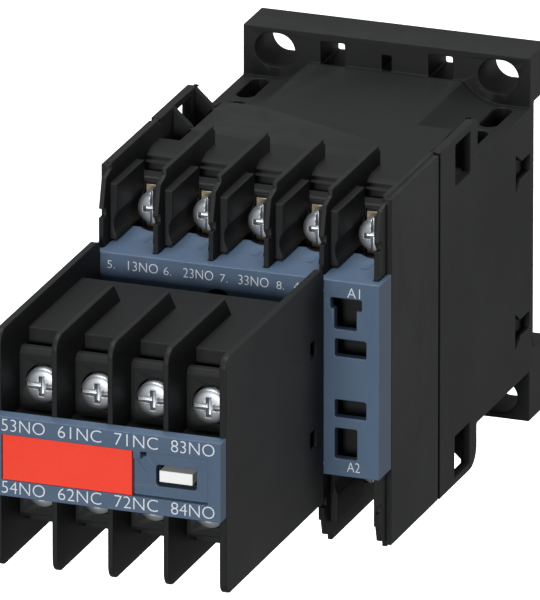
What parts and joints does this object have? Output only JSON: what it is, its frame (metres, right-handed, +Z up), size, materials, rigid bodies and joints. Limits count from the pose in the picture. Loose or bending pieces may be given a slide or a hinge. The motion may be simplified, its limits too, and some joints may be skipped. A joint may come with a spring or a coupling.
{
  "type": "contactor relay",
  "caption": "Rail-mounted contactor relay with a clip-on auxiliary contact block, sprung armature, moving contact bridges, screw clamp terminals and a rail latch.",
  "frame": {"origin": "middle of the back mounting plane, on the centre of the four mounting slots", "axes": "X along the mounting rail, +Z up, +Y into the mounting plate, so the front faces -Y"},
  "size_m": [0.045, 0.1172, 0.057],
  "materials": {
    "black_plastic": "fine matt moulding",
    "blue_plastic": "fine matt moulding",
    "red_plastic": "semi-gloss",
    "white_plastic": "semi-gloss",
    "carrier_plastic": "matt",
    "bobbin_plastic": "matt",
    "latch_plastic": "matt",
    "screw_steel": "zinc plated",
    "clamp_steel": "zinc plated",
    "spring_steel": "bright",
    "core_steel": "laminated, oiled",
    "copper": "plain copper",
    "enamelled_copper": "enamelled wire",
    "contact_brass": "plain, silver tips"
  },
  "bodies": {
    "housing": {"base_housing": "black_plastic", "contact_housing": "black_plastic", "front_cover": "blue_plastic", "fixed_core": "core_steel", "shading_rings": "copper", "coil_bobbin": "bobbin_plastic", "coil_winding": "enamelled_copper", "return_springs": "spring_steel", "fixed_contacts": "contact_brass", "coil_terminals": "contact_brass", "rail_latch_spring": "spring_steel", "aux_housing": "black_plastic", "aux_front_panel": "blue_plastic", "marking_plate": "red_plastic", "aux_fixed_contacts": "contact_brass"},
    "armature_carrier": {"armature": "core_steel", "contact_carrier": "carrier_plastic", "bridge_contacts": "contact_brass", "contact_springs": "spring_steel"},
    "aux_slide": {"aux_carrier": "carrier_plastic", "aux_bridge_contacts": "contact_brass", "aux_contact_springs": "spring_steel", "position_indicator": "white_plastic"},
    "rail_latch": {"rail_latch": "latch_plastic"},
    "clamp_13": {"clamp_13": "clamp_steel"},
    "screw_13": {"screw_13": "screw_steel"},
    "clamp_23": {"clamp_23": "clamp_steel"},
    "screw_23": {"screw_23": "screw_steel"},
    "clamp_33": {"clamp_33": "clamp_steel"},
    "screw_33": {"screw_33": "screw_steel"},
    "clamp_43": {"clamp_43": "clamp_steel"},
    "screw_43": {"screw_43": "screw_steel"},
    "clamp_a1": {"clamp_a1": "clamp_steel"},
    "screw_a1": {"screw_a1": "screw_steel"},
    "clamp_14": {"clamp_14": "clamp_steel"},
    "screw_14": {"screw_14": "screw_steel"},
    "clamp_24": {"clamp_24": "clamp_steel"},
    "screw_24": {"screw_24": "screw_steel"},
    "clamp_34": {"clamp_34": "clamp_steel"},
    "screw_34": {"screw_34": "screw_steel"},
    "clamp_44": {"clamp_44": "clamp_steel"},
    "screw_44": {"screw_44": "screw_steel"},
    "clamp_a2": {"clamp_a2": "clamp_steel"},
    "screw_a2": {"screw_a2": "screw_steel"},
    "clamp_53": {"clamp_53": "clamp_steel"},
    "screw_53": {"screw_53": "screw_steel"},
    "clamp_61": {"clamp_61": "clamp_steel"},
    "screw_61": {"screw_61": "screw_steel"},
    "clamp_71": {"clamp_71": "clamp_steel"},
    "screw_71": {"screw_71": "screw_steel"},
    "clamp_83": {"clamp_83": "clamp_steel"},
    "screw_83": {"screw_83": "screw_steel"},
    "clamp_54": {"clamp_54": "clamp_steel"},
    "screw_54": {"screw_54": "screw_steel"},
    "clamp_62": {"clamp_62": "clamp_steel"},
    "screw_62": {"screw_62": "screw_steel"},
    "clamp_72": {"clamp_72": "clamp_steel"},
    "screw_72": {"screw_72": "screw_steel"},
    "clamp_84": {"clamp_84": "clamp_steel"},
    "screw_84": {"screw_84": "screw_steel"}
  },
  "joints": [
    {"name": "armature_stroke", "type": "slide", "parent": "housing", "child": "armature_carrier", "axis": [0, 1, 0], "range_m": [0, 0.0035], "stiffness_N_per_m": 500, "springref_m": -0.005, "deforming": ["return_springs"]},
    {"name": "aux_stroke", "type": "slide", "parent": "housing", "child": "aux_slide", "axis": [0, 1, 0], "range_m": [0, 0.0035]},
    {"name": "rail_latch_pull", "type": "slide", "parent": "housing", "child": "rail_latch", "axis": [0, 0, -1], "range_m": [0, 0.003], "stiffness_N_per_m": 700, "springref_m": -0.004, "deforming": ["rail_latch_spring"]},
    {"name": "clamp_13_slide", "type": "slide", "parent": "housing", "child": "clamp_13", "axis": [0, -1, 0], "range_m": [-0.0006, 0.0012]},
    {"name": "screw_13_turn", "type": "hinge", "parent": "clamp_13", "child": "screw_13", "pos_m": [-0.01712, -0.0595, 0.018], "axis": [0, -1, 0], "range_deg": [-360, 720]},
    {"name": "clamp_23_slide", "type": "slide", "parent": "housing", "child": "clamp_23", "axis": [0, -1, 0], "range_m": [-0.0006, 0.0012]},
    {"name": "screw_23_turn", "type": "hinge", "parent": "clamp_23", "child": "screw_23", "pos_m": [-0.00856, -0.0595, 0.018], "axis": [0, -1, 0], "range_deg": [-360, 720]},
    {"name": "clamp_33_slide", "type": "slide", "parent": "housing", "child": "clamp_33", "axis": [0, -1, 0], "range_m": [-0.0006, 0.0012]},
    {"name": "screw_33_turn", "type": "hinge", "parent": "clamp_33", "child": "screw_33", "pos_m": [0, -0.0595, 0.018], "axis": [0, -1, 0], "range_deg": [-360, 720]},
    {"name": "clamp_43_slide", "type": "slide", "parent": "housing", "child": "clamp_43", "axis": [0, -1, 0], "range_m": [-0.0006, 0.0012]},
    {"name": "screw_43_turn", "type": "hinge", "parent": "clamp_43", "child": "screw_43", "pos_m": [0.00856, -0.0595, 0.018], "axis": [0, -1, 0], "range_deg": [-360, 720]},
    {"name": "clamp_a1_slide", "type": "slide", "parent": "housing", "child": "clamp_a1", "axis": [0, -1, 0], "range_m": [-0.0006, 0.0012]},
    {"name": "screw_a1_turn", "type": "hinge", "parent": "clamp_a1", "child": "screw_a1", "pos_m": [0.01712, -0.0595, 0.018], "axis": [0, -1, 0], "range_deg": [-360, 720]},
    {"name": "clamp_14_slide", "type": "slide", "parent": "housing", "child": "clamp_14", "axis": [0, -1, 0], "range_m": [-0.0006, 0.0012]},
    {"name": "screw_14_turn", "type": "hinge", "parent": "clamp_14", "child": "screw_14", "pos_m": [-0.01712, -0.0595, -0.018], "axis": [0, -1, 0], "range_deg": [-360, 720]},
    {"name": "clamp_24_slide", "type": "slide", "parent": "housing", "child": "clamp_24", "axis": [0, -1, 0], "range_m": [-0.0006, 0.0012]},
    {"name": "screw_24_turn", "type": "hinge", "parent": "clamp_24", "child": "screw_24", "pos_m": [-0.00856, -0.0595, -0.018], "axis": [0, -1, 0], "range_deg": [-360, 720]},
    {"name": "clamp_34_slide", "type": "slide", "parent": "housing", "child": "clamp_34", "axis": [0, -1, 0], "range_m": [-0.0006, 0.0012]},
    {"name": "screw_34_turn", "type": "hinge", "parent": "clamp_34", "child": "screw_34", "pos_m": [0, -0.0595, -0.018], "axis": [0, -1, 0], "range_deg": [-360, 720]},
    {"name": "clamp_44_slide", "type": "slide", "parent": "housing", "child": "clamp_44", "axis": [0, -1, 0], "range_m": [-0.0006, 0.0012]},
    {"name": "screw_44_turn", "type": "hinge", "parent": "clamp_44", "child": "screw_44", "pos_m": [0.00856, -0.0595, -0.018], "axis": [0, -1, 0], "range_deg": [-360, 720]},
    {"name": "clamp_a2_slide", "type": "slide", "parent": "housing", "child": "clamp_a2", "axis": [0, -1, 0], "range_m": [-0.0006, 0.0012]},
    {"name": "screw_a2_turn", "type": "hinge", "parent": "clamp_a2", "child": "screw_a2", "pos_m": [0.01712, -0.0595, -0.018], "axis": [0, -1, 0], "range_deg": [-360, 720]},
    {"name": "clamp_53_slide", "type": "slide", "parent": "housing", "child": "clamp_53", "axis": [0, -1, 0], "range_m": [-0.0005, 0.0005]},
    {"name": "screw_53_turn", "type": "hinge", "parent": "clamp_53", "child": "screw_53", "pos_m": [-0.01675, -0.1054, 0.0069], "axis": [0, -1, 0], "range_deg": [-360, 360]},
    {"name": "clamp_61_slide", "type": "slide", "parent": "housing", "child": "clamp_61", "axis": [0, -1, 0], "range_m": [-0.0005, 0.0005]},
    {"name": "screw_61_turn", "type": "hinge", "parent": "clamp_61", "child": "screw_61", "pos_m": [-0.00819, -0.1054, 0.0069], "axis": [0, -1, 0], "range_deg": [-360, 360]},
    {"name": "clamp_71_slide", "type": "slide", "parent": "housing", "child": "clamp_71", "axis": [0, -1, 0], "range_m": [-0.0005, 0.0005]},
    {"name": "screw_71_turn", "type": "hinge", "parent": "clamp_71", "child": "screw_71", "pos_m": [0.00037, -0.1054, 0.0069], "axis": [0, -1, 0], "range_deg": [-360, 360]},
    {"name": "clamp_83_slide", "type": "slide", "parent": "housing", "child": "clamp_83", "axis": [0, -1, 0], "range_m": [-0.0005, 0.0005]},
    {"name": "screw_83_turn", "type": "hinge", "parent": "clamp_83", "child": "screw_83", "pos_m": [0.00893, -0.1054, 0.0069], "axis": [0, -1, 0], "range_deg": [-360, 360]},
    {"name": "clamp_54_slide", "type": "slide", "parent": "housing", "child": "clamp_54", "axis": [0, -1, 0], "range_m": [-0.0005, 0.0005]},
    {"name": "screw_54_turn", "type": "hinge", "parent": "clamp_54", "child": "screw_54", "pos_m": [-0.01675, -0.1054, -0.0091], "axis": [0, -1, 0], "range_deg": [-360, 360]},
    {"name": "clamp_62_slide", "type": "slide", "parent": "housing", "child": "clamp_62", "axis": [0, -1, 0], "range_m": [-0.0005, 0.0005]},
    {"name": "screw_62_turn", "type": "hinge", "parent": "clamp_62", "child": "screw_62", "pos_m": [-0.00819, -0.1054, -0.0091], "axis": [0, -1, 0], "range_deg": [-360, 360]},
    {"name": "clamp_72_slide", "type": "slide", "parent": "housing", "child": "clamp_72", "axis": [0, -1, 0], "range_m": [-0.0005, 0.0005]},
    {"name": "screw_72_turn", "type": "hinge", "parent": "clamp_72", "child": "screw_72", "pos_m": [0.00037, -0.1054, -0.0091], "axis": [0, -1, 0], "range_deg": [-360, 360]},
    {"name": "clamp_84_slide", "type": "slide", "parent": "housing", "child": "clamp_84", "axis": [0, -1, 0], "range_m": [-0.0005, 0.0005]},
    {"name": "screw_84_turn", "type": "hinge", "parent": "clamp_84", "child": "screw_84", "pos_m": [0.00893, -0.1054, -0.0091], "axis": [0, -1, 0], "range_deg": [-360, 360]}
  ],
  "couplings": [
    {"joint": "aux_stroke", "follows": "armature_stroke", "ratio": 1},
    {"joint": "screw_13_turn", "follows": "clamp_13_slide", "rad_per_m": 10472},
    {"joint": "screw_23_turn", "follows": "clamp_23_slide", "rad_per_m": 10472},
    {"joint": "screw_33_turn", "follows": "clamp_33_slide", "rad_per_m": 10472},
    {"joint": "screw_43_turn", "follows": "clamp_43_slide", "rad_per_m": 10472},
    {"joint": "screw_a1_turn", "follows": "clamp_a1_slide", "rad_per_m": 10472},
    {"joint": "screw_14_turn", "follows": "clamp_14_slide", "rad_per_m": 10472},
    {"joint": "screw_24_turn", "follows": "clamp_24_slide", "rad_per_m": 10472},
    {"joint": "screw_34_turn", "follows": "clamp_34_slide", "rad_per_m": 10472},
    {"joint": "screw_44_turn", "follows": "clamp_44_slide", "rad_per_m": 10472},
    {"joint": "screw_a2_turn", "follows": "clamp_a2_slide", "rad_per_m": 10472},
    {"joint": "screw_53_turn", "follows": "clamp_53_slide", "rad_per_m": 12566},
    {"joint": "screw_61_turn", "follows": "clamp_61_slide", "rad_per_m": 12566},
    {"joint": "screw_71_turn", "follows": "clamp_71_slide", "rad_per_m": 12566},
    {"joint": "screw_83_turn", "follows": "clamp_83_slide", "rad_per_m": 12566},
    {"joint": "screw_54_turn", "follows": "clamp_54_slide", "rad_per_m": 12566},
    {"joint": "screw_62_turn", "follows": "clamp_62_slide", "rad_per_m": 12566},
    {"joint": "screw_72_turn", "follows": "clamp_72_slide", "rad_per_m": 12566},
    {"joint": "screw_84_turn", "follows": "clamp_84_slide", "rad_per_m": 12566}
  ]
}
